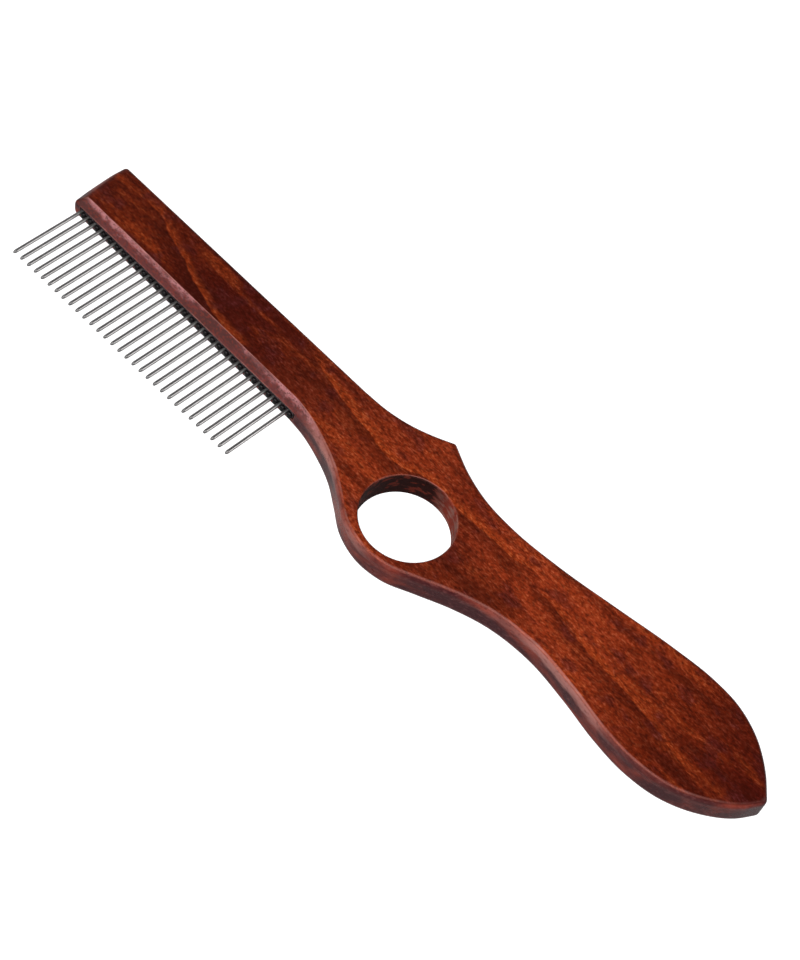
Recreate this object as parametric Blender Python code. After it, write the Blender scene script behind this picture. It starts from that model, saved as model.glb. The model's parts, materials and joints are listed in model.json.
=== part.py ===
"""Rotating tooth comb: a flat wooden comb with a finger hole and steel teeth that spin in a black strip.

Blender 4.5, metres, +Z up. The comb lies flat on its under face. +X runs from the head to the tip of the
grip, and the teeth point to -Y. The origin is at the middle of the comb's length and width, on the surface
that it lies on. Sizes are drawn in millimetres from the first tooth's root, and MM turns them into metres.
"""

import math

import bmesh
import bpy
from mathutils import Vector

MM = 0.001

# Where the first tooth's root lies from the middle of the comb's length and width
FIRST_TOOTH_X = -109.0
ROOT_LINE_Y = -2.55

# Wooden plate
THICKNESS = 7.6
MIDDLE_Z = THICKNESS / 2
OUTLINE_SPACING = 3.2
CORNER_STEP = math.radians(25)
SHARP_ANGLE = math.radians(40)
NEARLY_STRAIGHT = math.cos(math.radians(12))

# The plate's edge from its face down to its side: a plain rounding, and the wide bevel of the toothed edge.
# Flatness turns the bevel from a quarter round, at 0, into a flat chamfer, at 1. The bevel runs out over the
# last stretch of the head's end.
ROUND_RADIUS = 1.0
BEVEL_INSET = 2.1
BEVEL_DROP = 2.5
BEVEL_FLATNESS = 0.6
BEVEL_RUN_OUT = 2.6
EDGE_STEPS = 3

# Finger hole
HOLE_CENTRE = (116.1, 0.0)
HOLE_RADIUS = 11.9
HOLE_SIDES = 48

# Teeth
TOOTH_COUNT = 31
TOOTH_PITCH = 2.5
TOOTH_RADIUS = 0.55
TOOTH_SIDES = 12
FIRST_TOOTH_REACH = 21.4
LAST_TOOTH_REACH = 19.9
TIP_LENGTH = 1.0
TIP_SHOULDER_LENGTH = 0.35
TIP_SHOULDER_RADIUS = 0.42
TIP_END_RADIUS = 0.18
TOOTH_HEAD_RADIUS = 0.9
TOOTH_HEAD_LENGTH = 0.8

# Black strip that the teeth turn in, with a lug after each tooth
STRIP_START = -1.3
STRIP_END = 77.2
STRIP_FACE_Y = 0.2
STRIP_DEPTH = 4.5
STRIP_HEIGHT = 2.4
STRIP_CORNER = 0.8
STRIP_CORNER_STEPS = 3
STRIP_CHAMFER = 0.25
LUG_HALF_WIDTH = 0.55
LUG_HEIGHT = 0.55
LUG_STEPS = 6
BORE_RADIUS = 0.66

# Gaps between pieces, and the slot that the strip sits in
SEAT_GAP = 0.3
HEAD_GAP = 0.15
SLOT_DEPTH_Y = STRIP_FACE_Y + STRIP_DEPTH + HEAD_GAP + TOOTH_HEAD_LENGTH + SEAT_GAP
PAST = 5.0

# Outline of the wooden plate, counter-clockwise seen from above. Each row is x, y and how far the plain
# rounding has turned into the bevel there, from 0 to 1. Each stretch is a smooth curve through its rows.
HEAD_START_X = -2.3
TOOTHED_EDGE_Y = 0.5
HEAD_BACK_Y = 17.0
TOOTHED_EDGE = [
    (HEAD_START_X, TOOTHED_EDGE_Y, 1.0),
    (76.0, TOOTHED_EDGE_Y, 1.0),
]
NECK_TO_TIP = [
    (76.0, TOOTHED_EDGE_Y, 1.0),
    (81.0, 0.05, 0.6),
    (88.0, -1.75, 0.2),
    (95.0, -4.5, 0.0),
    (101.0, -8.15, 0.0),
    (107.0, -12.1, 0.0),
    (115.0, -14.2, 0.0),
    (122.0, -13.3, 0.0),
    (130.0, -9.5, 0.0),
    (138.0, -5.4, 0.0),
    (147.0, -2.2, 0.0),
    (159.0, -0.9, 0.0),
    (172.0, -2.2, 0.0),
    (183.0, -4.1, 0.0),
    (193.0, -4.7, 0.0),
    (203.0, -3.1, 0.0),
    (212.0, 1.8, 0.0),
    (217.3, 6.8, 0.0),
    (220.7, 12.4, 0.0),
]
TIP_TO_THUMB_POINT = [
    (220.7, 12.4, 0.0),
    (215.0, 18.1, 0.0),
    (208.0, 23.2, 0.0),
    (200.0, 26.1, 0.0),
    (192.0, 26.5, 0.0),
    (180.0, 25.2, 0.0),
    (165.0, 22.5, 0.0),
    (148.0, 19.4, 0.0),
    (134.0, 18.3, 0.0),
    (124.0, 18.9, 0.0),
    (116.0, 21.2, 0.0),
    (108.5, 24.5, 0.0),
]
THUMB_POINT_TO_NECK = [
    (108.5, 24.5, 0.0),
    (104.0, 22.4, 0.0),
    (98.0, 19.7, 0.0),
    (91.0, 18.1, 0.0),
    (84.0, 17.7, 0.0),
]
BACK_EDGE = [
    (84.0, 17.7, 0.0),
    (HEAD_START_X, HEAD_BACK_Y, 0.0),
]
HEAD_END = [
    (HEAD_START_X, HEAD_BACK_Y, 0.0),
    (HEAD_START_X, TOOTHED_EDGE_Y + BEVEL_RUN_OUT, 0.0),
    (HEAD_START_X, TOOTHED_EDGE_Y, 0.0),
]
# Each stretch with the plan radius of the corner at its end. 0 leaves the join as it is.
OUTLINE = [
    (TOOTHED_EDGE, 0.0),
    (NECK_TO_TIP, 1.3),
    (TIP_TO_THUMB_POINT, 1.6),
    (THUMB_POINT_TO_NECK, 0.0),
    (BACK_EDGE, 1.2),
    (HEAD_END, 0.0),
]

# Colour, roughness and metallic value of each material
STAINED_WOOD = ((0.155, 0.028, 0.010), 0.35, 0.0)
BLACK_PLASTIC = ((0.012, 0.011, 0.012), 0.4, 0.0)
TOOTH_STEEL = ((0.56, 0.55, 0.54), 0.25, 1.0)


def clear_scene():
    for old in list(bpy.data.objects):
        bpy.data.objects.remove(old)


def finish(name, colour, roughness, metallic):
    """A plain Principled material."""
    material = bpy.data.materials.new(name)
    material.use_nodes = True
    shader = material.node_tree.nodes["Principled BSDF"]
    shader.inputs["Base Color"].default_value = (*colour, 1.0)
    shader.inputs["Roughness"].default_value = roughness
    shader.inputs["Metallic"].default_value = metallic
    return material


def placed(x, y, z):
    """A point in millimetres from the first tooth's root, as metres from the comb's origin."""
    return Vector((x + FIRST_TOOTH_X, y + ROOT_LINE_Y, z + MIDDLE_Z)) * MM


def smooth_run(rows):
    """Points on a smooth curve through rows of x, y and bevel share."""
    points = [Vector(row) for row in rows]
    chords = [(after.xy - before.xy).length for before, after in zip(points, points[1:])]
    slopes = [(after - before) / chord for before, after, chord in zip(points, points[1:], chords)]
    tangents = [slopes[0]]
    for left, right, left_chord, right_chord in zip(slopes, slopes[1:], chords, chords[1:]):
        tangents.append((left * right_chord + right * left_chord) / (left_chord + right_chord))
    tangents.append(slopes[-1])
    straight = len(rows) == 2 or len({x for x, _, _ in rows}) == 1
    run = [points[0]]
    for index, chord in enumerate(chords):
        steps = 1 if straight else max(1, round(chord / OUTLINE_SPACING))
        for step in range(1, steps + 1):
            t = step / steps
            run.append(
                points[index] * (2 * t**3 - 3 * t**2 + 1)
                + tangents[index] * chord * (t**3 - 2 * t**2 + t)
                + points[index + 1] * (3 * t**2 - 2 * t**3)
                + tangents[index + 1] * chord * (t**3 - t**2)
            )
    return run


def rounded_corner(before, corner, after, radius):
    """The arc that rounds a corner, and how far from the corner it starts."""
    arriving = (corner - before).xy.normalized()
    leaving = (after - corner).xy.normalized()
    turn = -arriving.angle_signed(leaving)
    reach = radius * math.tan(turn / 2)
    start = corner.xy - arriving * reach
    centre = start + Vector((-arriving.y, arriving.x)) * radius
    steps = max(2, round(turn / CORNER_STEP))
    spoke = start - centre
    arc = []
    for step in range(steps + 1):
        angle = turn * step / steps
        x = spoke.x * math.cos(angle) - spoke.y * math.sin(angle)
        y = spoke.x * math.sin(angle) + spoke.y * math.cos(angle)
        arc.append(Vector((centre.x + x, centre.y + y, corner.z)))
    return arc, reach


def closed_outline(stretches):
    """One ring from the stretches, with their corners rounded.

    Each entry is a point of x, y and bevel share, and the share of the edge that arrives at the point, which
    differs where the bevel ends at a corner.
    """
    runs = [smooth_run(rows) for rows, _ in stretches]
    arcs = []
    for index, (_, radius) in enumerate(stretches):
        run, following = runs[index], runs[(index + 1) % len(runs)]
        arcs.append(rounded_corner(run[-2], run[-1], following[1], radius) if radius else ([], 0.0))
    ring = []
    for index, run in enumerate(runs):
        trim_start = arcs[index - 1][1]
        arc, trim_end = arcs[index]
        if not trim_start:
            ring.append((run[0], runs[index - 1][-1].z))
        for point in run[1:-1]:
            far_from_start = (point - run[0]).xy.length > trim_start
            far_from_end = (point - run[-1]).xy.length > trim_end
            if far_from_start and far_from_end:
                ring.append((point, point.z))
        ring.extend((point, point.z) for point in arc)
    return ring


def inset_point(before, point, after, arriving_inset, leaving_inset):
    """Where two edges that meet at a point meet again once each has moved into the plate."""
    arriving = (point - before).xy.normalized()
    leaving = (after - point).xy.normalized()
    first = Vector((-arriving.y, arriving.x))
    second = Vector((-leaving.y, leaving.x))
    alike = first.dot(second)
    if alike > NEARLY_STRAIGHT:
        return point.xy + (first + second).normalized() * leaving_inset
    along_first = (arriving_inset - alike * leaving_inset) / (1 - alike**2)
    along_second = (leaving_inset - alike * arriving_inset) / (1 - alike**2)
    return point.xy + first * along_first + second * along_second


def plate_edge():
    """Rows of inset and drop from a face down to the side: the plain rounding and the bevel."""
    rows = []
    for step in range(EDGE_STEPS + 1):
        angle = math.pi / 2 * step / EDGE_STEPS
        inset, drop = 1 - math.sin(angle), 1 - math.cos(angle)
        flat_inset, flat_drop = 1 - step / EDGE_STEPS, step / EDGE_STEPS
        bevel_inset = inset + (flat_inset - inset) * BEVEL_FLATNESS
        bevel_drop = drop + (flat_drop - drop) * BEVEL_FLATNESS
        plain = (inset * ROUND_RADIUS, drop * ROUND_RADIUS)
        rows.append((plain, (bevel_inset * BEVEL_INSET, bevel_drop * BEVEL_DROP)))
    return rows


def blend(plain, bevelled, share):
    return plain + (bevelled - plain) * share


def edged_wall(mesh, ring, half_height, edge):
    """The side of a plate along a ring, with the same edge to both faces. Returns its first and last row."""
    levels = [(1, row) for row in edge] + [(-1, row) for row in reversed(edge)]
    rows = []
    for side, (plain, bevelled) in levels:
        row = []
        for index, (point, arriving_share) in enumerate(ring):
            before, after = ring[index - 1][0], ring[(index + 1) % len(ring)][0]
            arriving_inset = blend(plain[0], bevelled[0], arriving_share)
            leaving_inset = blend(plain[0], bevelled[0], point.z)
            drop = blend(plain[1], bevelled[1], point.z)
            spot = inset_point(before, point, after, arriving_inset, leaving_inset)
            row.append(mesh.verts.new(placed(spot.x, spot.y, side * (half_height - drop))))
        rows.append(row)
    for upper, lower in zip(rows, rows[1:]):
        for index in range(len(ring)):
            following = (index + 1) % len(ring)
            mesh.faces.new((upper[index], lower[index], lower[following], upper[following]))
    return rows[0], rows[-1]


def ring_edges(mesh, row):
    return [mesh.edges.get((vert, row[(index + 1) % len(row)])) for index, vert in enumerate(row)]


def fill_between(mesh, rows):
    """Fills a flat face that is bounded by one or more rows of points."""
    edges = [edge for row in rows for edge in ring_edges(mesh, row)]
    bmesh.ops.triangle_fill(mesh, use_beauty=True, use_dissolve=False, edges=edges)


def new_object(name, mesh):
    bmesh.ops.recalc_face_normals(mesh, faces=mesh.faces)
    data = bpy.data.meshes.new(name)
    mesh.to_mesh(data)
    mesh.free()
    shape = bpy.data.objects.new(name, data)
    bpy.context.scene.collection.objects.link(shape)
    return shape


def piece(name, mesh, material):
    """One of the comb's own pieces, shaded smooth apart from its arrises."""
    shape = new_object(name, mesh)
    shape.data.materials.append(material)
    shape.data.shade_smooth()
    shape.data.set_sharp_from_angle(angle=SHARP_ANGLE)
    return shape


def cutter(name, mesh):
    """A shape that only cuts another piece."""
    shape = new_object(name, mesh)
    shape.hide_render = True
    shape.display_type = "WIRE"
    return shape


def cut(shape, tool):
    modifier = shape.modifiers.new("Cut", "BOOLEAN")
    modifier.operation = "DIFFERENCE"
    modifier.solver = "EXACT"
    modifier.object = tool


def turned(mesh, x, profile, sides):
    """A solid turned round a tooth's axis, from rows of y and radius. Both ends are flat."""
    rows = []
    for y, radius in profile:
        row = []
        for side in range(sides):
            angle = 2 * math.pi * side / sides
            row.append(mesh.verts.new(placed(x + radius * math.cos(angle), y, radius * math.sin(angle))))
        rows.append(row)
    for near, far in zip(rows, rows[1:]):
        for side in range(sides):
            following = (side + 1) % sides
            mesh.faces.new((near[side], near[following], far[following], far[side]))
    mesh.faces.new(rows[0])
    mesh.faces.new(rows[-1])


def hole_ring():
    """The finger hole's wall, clockwise, so that the wood lies on its left."""
    ring = []
    for side in range(HOLE_SIDES):
        angle = -2 * math.pi * side / HOLE_SIDES
        x = HOLE_CENTRE[0] + HOLE_RADIUS * math.cos(angle)
        y = HOLE_CENTRE[1] + HOLE_RADIUS * math.sin(angle)
        ring.append((Vector((x, y, 0.0)), 0.0))
    return ring


def slot_cutter():
    """A groove in the toothed edge. It runs out at the head's end and stops square past the last tooth."""
    low = placed(HEAD_START_X - PAST, -PAST, -STRIP_HEIGHT / 2 - SEAT_GAP)
    high = placed(STRIP_END + SEAT_GAP, SLOT_DEPTH_Y, STRIP_HEIGHT / 2 + SEAT_GAP)
    mesh = bmesh.new()
    bmesh.ops.create_cube(mesh, size=1.0)
    for vert in mesh.verts:
        vert.co = [low[axis] if vert.co[axis] < 0 else high[axis] for axis in range(3)]
    return cutter("tooth_slot_cutter", mesh)


def make_handle(material):
    mesh = bmesh.new()
    outer = edged_wall(mesh, closed_outline(OUTLINE), THICKNESS / 2, plate_edge())
    hole = edged_wall(mesh, hole_ring(), THICKNESS / 2, plate_edge())
    for outer_row, hole_row in zip(outer, hole):
        fill_between(mesh, (outer_row, hole_row))
    handle = piece("handle", mesh, material)
    cut(handle, slot_cutter())
    return handle


def strip_ring():
    """The strip seen from above: straight at the back, with a rounded lug after each tooth at the front."""
    back = STRIP_FACE_Y + STRIP_DEPTH
    points = []
    for step in range(STRIP_CORNER_STEPS + 1):
        angle = math.pi / 2 * step / STRIP_CORNER_STEPS
        x = STRIP_START + STRIP_CORNER * (1 - math.cos(angle))
        y = STRIP_FACE_Y + STRIP_CORNER * (1 - math.sin(angle))
        points.append((x, y))
    for tooth in range(TOOTH_COUNT):
        middle = (tooth + 0.5) * TOOTH_PITCH
        for step in range(LUG_STEPS + 1):
            angle = math.pi * step / LUG_STEPS
            x = middle - LUG_HALF_WIDTH * math.cos(angle)
            y = STRIP_FACE_Y - LUG_HEIGHT * math.sin(angle)
            points.append((x, y))
    points += [(STRIP_END, STRIP_FACE_Y), (STRIP_END, back), (STRIP_START, back)]
    return [(Vector((x, y, 0.0)), 0.0) for x, y in points]


def bore_cutter():
    """One round bore for each tooth, right through the strip."""
    mesh = bmesh.new()
    for tooth in range(TOOTH_COUNT):
        profile = [(-PAST, BORE_RADIUS), (STRIP_FACE_Y + STRIP_DEPTH + PAST, BORE_RADIUS)]
        turned(mesh, tooth * TOOTH_PITCH, profile, TOOTH_SIDES)
    return cutter("tooth_bore_cutter", mesh)


def make_strip(material):
    mesh = bmesh.new()
    chamfer = [((STRIP_CHAMFER, 0.0),) * 2, ((0.0, STRIP_CHAMFER),) * 2]
    for row in edged_wall(mesh, strip_ring(), STRIP_HEIGHT / 2, chamfer):
        fill_between(mesh, (row,))
    strip = piece("tooth_strip", mesh, material)
    cut(strip, bore_cutter())
    return strip


def tooth_profile(reach):
    """A straight pin with a short tapered tip, and a small head that the strip holds in."""
    strip_back = STRIP_FACE_Y + STRIP_DEPTH
    head_front = strip_back + HEAD_GAP
    return [
        (-reach, TIP_END_RADIUS),
        (-reach + TIP_SHOULDER_LENGTH, TIP_SHOULDER_RADIUS),
        (-reach + TIP_LENGTH, TOOTH_RADIUS),
        (head_front, TOOTH_RADIUS),
        (head_front, TOOTH_HEAD_RADIUS),
        (head_front + TOOTH_HEAD_LENGTH, TOOTH_HEAD_RADIUS),
    ]


def make_tooth(index, material):
    """One steel tooth, with its origin on the axis that it spins about."""
    share = index / (TOOTH_COUNT - 1)
    reach = FIRST_TOOTH_REACH + (LAST_TOOTH_REACH - FIRST_TOOTH_REACH) * share
    mesh = bmesh.new()
    turned(mesh, index * TOOTH_PITCH, tooth_profile(reach), TOOTH_SIDES)
    axis_point = placed(index * TOOTH_PITCH, 0.0, 0.0)
    bmesh.ops.translate(mesh, verts=mesh.verts, vec=-axis_point)
    tooth = piece(f"tooth_{index + 1:02d}", mesh, material)
    tooth.location = axis_point
    return tooth


def main():
    clear_scene()
    make_handle(finish("stained_wood", *STAINED_WOOD))
    make_strip(finish("black_plastic", *BLACK_PLASTIC))
    steel = finish("tooth_steel", *TOOTH_STEEL)
    for index in range(TOOTH_COUNT):
        make_tooth(index, steel)


main()
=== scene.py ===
"""Looks of the rotating tooth comb: its wooden plate, black strip and steel teeth, and their finishes.

Metres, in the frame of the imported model. +X runs from the head to the tip of the grip, and the teeth point
to -Y. Lengths named in millimetres are multiplied by MM.
"""

import json
import math

import bmesh
import bpy
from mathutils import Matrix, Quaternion, Vector


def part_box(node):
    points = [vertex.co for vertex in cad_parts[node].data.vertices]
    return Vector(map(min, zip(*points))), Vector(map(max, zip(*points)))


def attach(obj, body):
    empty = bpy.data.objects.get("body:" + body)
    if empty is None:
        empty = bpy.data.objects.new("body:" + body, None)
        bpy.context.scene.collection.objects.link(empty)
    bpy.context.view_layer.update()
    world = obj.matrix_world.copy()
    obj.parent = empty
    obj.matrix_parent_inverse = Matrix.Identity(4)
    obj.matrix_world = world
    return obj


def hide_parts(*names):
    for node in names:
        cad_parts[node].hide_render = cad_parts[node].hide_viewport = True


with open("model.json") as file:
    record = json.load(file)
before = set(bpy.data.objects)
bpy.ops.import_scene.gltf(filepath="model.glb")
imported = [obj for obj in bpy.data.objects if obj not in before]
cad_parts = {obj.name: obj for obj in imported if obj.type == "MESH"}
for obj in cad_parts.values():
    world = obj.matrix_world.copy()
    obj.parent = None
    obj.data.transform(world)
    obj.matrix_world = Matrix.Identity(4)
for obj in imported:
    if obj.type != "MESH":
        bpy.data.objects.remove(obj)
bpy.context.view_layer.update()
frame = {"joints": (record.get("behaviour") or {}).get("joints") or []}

MM = 0.001
WHITE = (1.0, 1.0, 1.0, 1.0)

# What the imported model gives: the plate's and the strip's boxes, and the teeth in order with their roots.
PLATE_LOW, PLATE_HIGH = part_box("handle")
STRIP_LOW, STRIP_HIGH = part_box("tooth_strip")
TEETH = sorted(joint["child"] for joint in frame["joints"])
ROOTS = {joint["child"]: Vector(joint["pos_m"]) for joint in frame["joints"]}
FIRST_ROOT = ROOTS[TEETH[0]]
PITCH = (ROOTS[TEETH[1]] - FIRST_ROOT).x

# Camera: where it stands, how it looks down and round, how far it rolls, its lens and how near it sees
CAMERA_PLACE = (0.1522, -0.28455, 0.4716)
CAMERA_ELEVATION = math.radians(54.86)
CAMERA_AZIMUTH = math.radians(28.09)
CAMERA_ROLL = math.radians(20.30)
CAMERA_LENS = 90.0
CAMERA_SENSOR = 36.0
CAMERA_CLIP = 0.01

# Light: each soft box's name, where it stands, its size and its power. All of them face the comb's middle.
SOFT_BOXES = [
    ("overhead_box", (0.04, -0.5, 0.87), (1.0, 0.6), 12.0),
    ("front_box", (-0.35, -0.85, 0.33), (0.8, 0.25), 1.2),
    ("pin_box", (0.72, 0.51, 0.47), (0.5, 0.66), 2.4),
    ("fill_card", (-0.72, 0.5, 0.4), (0.5, 0.6), 0.3),
]
WORLD_STRENGTH = 0.03
FLOOR_SIZE = 6.0
FLOOR_DARK = (0.38, 0.38, 0.38, 1.0)
FLOOR_LIGHT = (0.44, 0.44, 0.44, 1.0)
# How bright the floor is in the comb's gloss, beside 1 to the camera
FLOOR_MIRRORED = 0.12

# Plate: how finely its outline and its edges are drawn, in millimetres
OUTLINE_SPACING = 1.0
CORNER_STEP = math.radians(10)
NEARLY_STRAIGHT = math.cos(math.radians(12))
SMOOTH_ANGLE = math.radians(42)
ROUND_RADIUS = 1.5
END_RADIUS_BACK = 2.0
END_RADIUS_FRONT = 3.6
END_REACH = 4.0
BEVEL_INSET = 2.1
BEVEL_DROP = 2.5
BEVEL_EASE = 0.5
UNDER_BEVEL_PART = 0.3
ARC_STEPS = 4
FLAT_MARGIN = 0.15
LEVEL_TOLERANCE = 0.01
HOLE_CENTRE = (116.15, 0.05)
HOLE_RADIUS = 11.9
HOLE_SIDES = 144
HOLE_RIM_RADIUS = 0.5

# Slot for the strip, in millimetres. It stops short of the head's end.
SLOT_START = -0.64
SLOT_END = 77.5
SLOT_DEPTH = 5.95
SLOT_HALF_HEIGHT = 1.25
SLOT_PAST = 5.0
# Room behind the strip for the first tooth's head, which reaches past the slot's end
POCKET_START = -1.15
POCKET_MARGIN = 0.1

# Outline of the plate in millimetres from the first tooth's root, counter-clockwise seen from above. Each row
# is x, y and how far the plain rounding has turned into the bevel there. Each stretch is a smooth curve.
HEAD_START_X = -2.75
TOOTHED_EDGE_Y = 0.5
HEAD_BACK_Y = 17.35
TOOTHED_EDGE = [
    (-2.95, TOOTHED_EDGE_Y, 1.0),
    (76.0, TOOTHED_EDGE_Y, 1.0),
]
NECK_TO_TIP = [
    (76.0, TOOTHED_EDGE_Y, 1.0),
    (81.0, 0.05, 0.6),
    (88.0, -1.7, 0.2),
    (95.0, -4.5, 0.0),
    (101.0, -8.35, 0.0),
    (107.0, -12.3, 0.0),
    (115.0, -14.35, 0.0),
    (122.0, -13.5, 0.0),
    (130.0, -9.65, 0.0),
    (138.0, -5.65, 0.0),
    (147.0, -2.45, 0.0),
    (159.0, -1.05, 0.0),
    (172.0, -2.4, 0.0),
    (183.0, -4.3, 0.0),
    (193.0, -4.9, 0.0),
    (203.0, -3.2, 0.0),
    (212.1, 1.6, 0.0),
    (217.55, 6.65, 0.0),
    (220.9, 12.3, 0.0),
]
TIP_TO_THUMB_POINT = [
    (220.9, 12.3, 0.0),
    (215.3, 18.4, 0.0),
    (208.2, 23.5, 0.0),
    (200.0, 26.4, 0.0),
    (192.0, 26.9, 0.0),
    (180.0, 25.6, 0.0),
    (165.0, 22.9, 0.0),
    (148.0, 19.95, 0.0),
    (134.0, 18.7, 0.0),
    (124.0, 19.35, 0.0),
    (116.0, 21.55, 0.0),
    (108.35, 25.05, 0.0),
]
THUMB_POINT_TO_NECK = [
    (108.35, 25.05, 0.0),
    (103.9, 22.65, 0.0),
    (97.9, 20.15, 0.0),
    (91.0, 18.55, 0.0),
    (84.0, 18.05, 0.0),
]
BACK_EDGE = [
    (84.0, 18.05, 0.0),
    (HEAD_START_X, HEAD_BACK_Y, 0.0),
]
HEAD_END = [
    (HEAD_START_X, HEAD_BACK_Y, 0.0),
    (-3.15, 13.5, 0.2),
    (-3.2, 9.0, 0.5),
    (-3.15, 4.5, 0.8),
    (-2.95, TOOTHED_EDGE_Y, 1.0),
]
# Each stretch with the plan radius of the corner at its end, and how far from that corner its points stay.
# 0 leaves the join as it is.
OUTLINE = [
    (TOOTHED_EDGE, 0.0, 0.0),
    (NECK_TO_TIP, 1.8, 3.0),
    (TIP_TO_THUMB_POINT, 0.9, 1.8),
    (THUMB_POINT_TO_NECK, 0.0, 0.0),
    (BACK_EDGE, 0.9, 3.4),
    (HEAD_END, 0.7, 4.0),
]

# Strip and its lugs, in millimetres
STRIP_EASE = 0.3
STRIP_EASE_STEPS = 3
STRIP_START = -0.56
STRIP_FACE_Y = 0.42
LUG_HALF_WIDTH = 0.7
LUG_FRONT_Y = -0.5
LUG_BACK_Y = 1.2
LUG_LOW_Z = -1.02
LUG_HIGH_Z = 1.0
LUG_EASE = 0.55
LUG_EASE_STEPS = 6
BORE_RADIUS = 0.66
BORE_SIDES = 24

# Teeth, in millimetres
TOOTH_RADIUS = 0.49
TOOTH_SIDES = 28
TIP_LENGTH = 1.0
TIP_ROWS = [(0.0, 1.0), (0.35, 0.93), (0.65, 0.78), (0.85, 0.58), (0.96, 0.36), (1.0, 0.16)]
HEAD_RADIUS = 0.9
HEAD_LENGTH = 0.8
HEAD_EASE = 0.12
TIP_MARGIN = 0.1
TOOTH_SMOOTH_ANGLE = math.radians(50)

# Lengths in millimetres where every curve along the comb starts and ends
LENGTH_START = -5.0
LENGTH_END = 225.0

# Stain along the comb: the length in millimetres and the colour there
STAIN_ALONG = [
    (-5.0, (0.075, 0.0078, 0.0026)),
    (12.0, (0.105, 0.0110, 0.0028)),
    (40.0, (0.056, 0.0050, 0.0022)),
    (58.0, (0.062, 0.0060, 0.0028)),
    (70.0, (0.100, 0.0115, 0.0040)),
    (81.0, (0.140, 0.0165, 0.0054)),
    (100.0, (0.215, 0.0250, 0.0066)),
    (109.0, (0.220, 0.0260, 0.0070)),
    (118.0, (0.165, 0.0185, 0.0058)),
    (127.0, (0.175, 0.0195, 0.0060)),
    (138.0, (0.250, 0.0290, 0.0074)),
    (165.0, (0.245, 0.0285, 0.0074)),
    (192.0, (0.135, 0.0140, 0.0036)),
    (218.0, (0.058, 0.0044, 0.0020)),
]
STAIN_LIGHT = (0.330, 0.043, 0.008, 1.0)
MOTTLE_GAIN = (1.42, 1.65, 2.0, 1.0)
STAIN_DARK = (0.034, 0.0040, 0.0020, 1.0)
STAIN_FLECK = (0.020, 0.0030, 0.0020, 1.0)
STAIN_PURPLE = (0.062, 0.0090, 0.0075, 1.0)
FLECK_GAIN = (1.45, 2.4, 3.2, 1.0)
# Side colours. The dark purple is painted shade and the brown, in patches on the sides, a painted uneven
# reflection; the light one is a painted sheen; the pale one is painted light from below. Dark and pale also
# draw the fibres
SIDE_DARK = (0.042, 0.0050, 0.0080, 1.0)
SIDE_BROWN = (0.220, 0.0300, 0.0160, 1.0)
SIDE_PAINTED_SHEEN = (0.400, 0.1700, 0.1450, 1.0)
SIDE_PALE = (0.270, 0.0900, 0.0850, 1.0)
# The bevel's pink is partly a painted sheen of the front light
BEVEL_PINK = (0.440, 0.1800, 0.1850, 1.0)
BEVEL_RED = (0.105, 0.0270, 0.0270, 1.0)
BEVEL_GREY = (0.060, 0.0200, 0.0180, 1.0)
BEVEL_PATCHES_MOVE = (-25.0, 0.0, 0.0)
# Finger hole's wall: painted shade towards the head and painted light towards the grip
HOLE_PAINTED_SHADE = (0.014, 0.0016, 0.0012, 1.0)
HOLE_PAINTED_LIGHT = (0.270, 0.1150, 0.0900, 1.0)
# Pale arrises on the wood: partly wear, partly a painted highlight
WORN_AND_SHEEN_WOOD = (0.560, 0.2500, 0.2100, 1.0)
PLASTIC_BLACK = (0.0020, 0.0014, 0.0016, 1.0)
PLASTIC_GREY = (0.0060, 0.0045, 0.0050, 1.0)
# Painted glints on the lugs' edges
PLASTIC_PAINTED_GLINT = (0.140, 0.1050, 0.1200, 1.0)
STEEL_DARK = (0.500, 0.4850, 0.4850, 1.0)
STEEL_BRIGHT = (0.660, 0.6450, 0.6400, 1.0)
STEEL_DULL = (0.340, 0.3200, 0.3100, 1.0)
STEEL_TIP = (0.100, 0.1000, 0.1000, 1.0)

# Noises: the cell size along each axis in millimetres, the detail and the contrast
LINE_WAVER = ((5.0, 2.5, 2.5), 3.0, 1.0)
SIDE_PATCHES = ((12.0, 8.0, 5.0), 2.0, 2.2)
SIDE_BREAKS = ((4.0, 3.0, 1.2), 3.0, 1.6)
BEVEL_MOTTLE = ((1.8, 0.9, 0.9), 3.0, 2.0)
ARRIS_LENGTHS = ((6.0, 4.0, 4.0), 3.0, 2.0)
HOLE_MOTTLE = ((3.0, 3.0, 1.2), 3.0, 3.0)
SMEARS = ((14.0, 7.0, 7.0), 3.0, 1.6)
PORES = ((3.2, 0.22, 0.22), 2.0, 3.0)
SWELL = ((6.0, 2.0, 2.0), 3.0, 1.2)
PLASTIC_MOTTLE = ((2.0, 1.0, 1.0), 3.0, 1.8)
PLASTIC_GRAIN = ((0.35, 0.35, 0.35), 2.0, 1.4)
DRAWN_LINES = ((0.12, 6.0, 0.12), 2.0, 2.0)
DULLED_PATCHES = ((1.5, 2.8, 1.5), 3.0, 2.0)

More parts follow.
